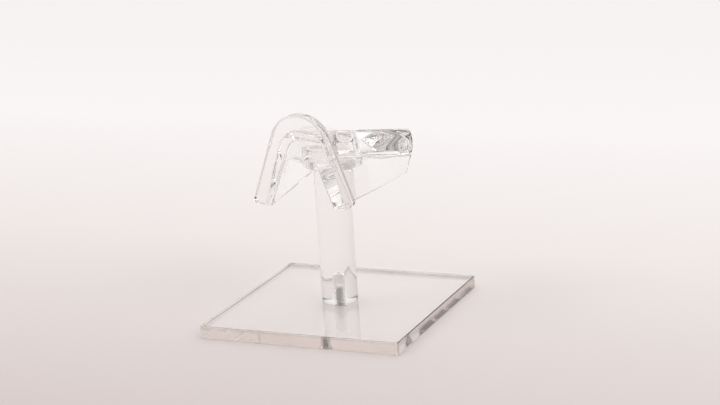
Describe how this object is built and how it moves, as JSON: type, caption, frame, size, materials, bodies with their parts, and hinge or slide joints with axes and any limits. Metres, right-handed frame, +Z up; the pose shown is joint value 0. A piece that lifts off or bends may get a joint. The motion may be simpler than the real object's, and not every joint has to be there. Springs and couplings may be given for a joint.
{
  "type": "eyeglass display rack",
  "caption": "Clear acrylic stand: a square base plate, an upright round rod and a nose-shaped saddle that holds a pair of eyeglasses by the bridge.",
  "frame": {"origin": "centre of the base plate's underside", "axes": "+Z up along the post, -Y towards the front of the displayed eyeglasses, +X across the saddle"},
  "size_m": [0.07, 0.07, 0.0733],
  "materials": {
    "plate_acrylic": "clear cast sheet, polished edges",
    "rod_acrylic": "clear polished rod",
    "screw_steel": "zinc-plated",
    "saddle_acrylic": "clear moulded, glossy"
  },
  "bodies": {
    "root": {"base_plate": "plate_acrylic", "post": "rod_acrylic", "base_screw": "screw_steel", "nose_saddle": "saddle_acrylic"}
  },
  "joints": []
}
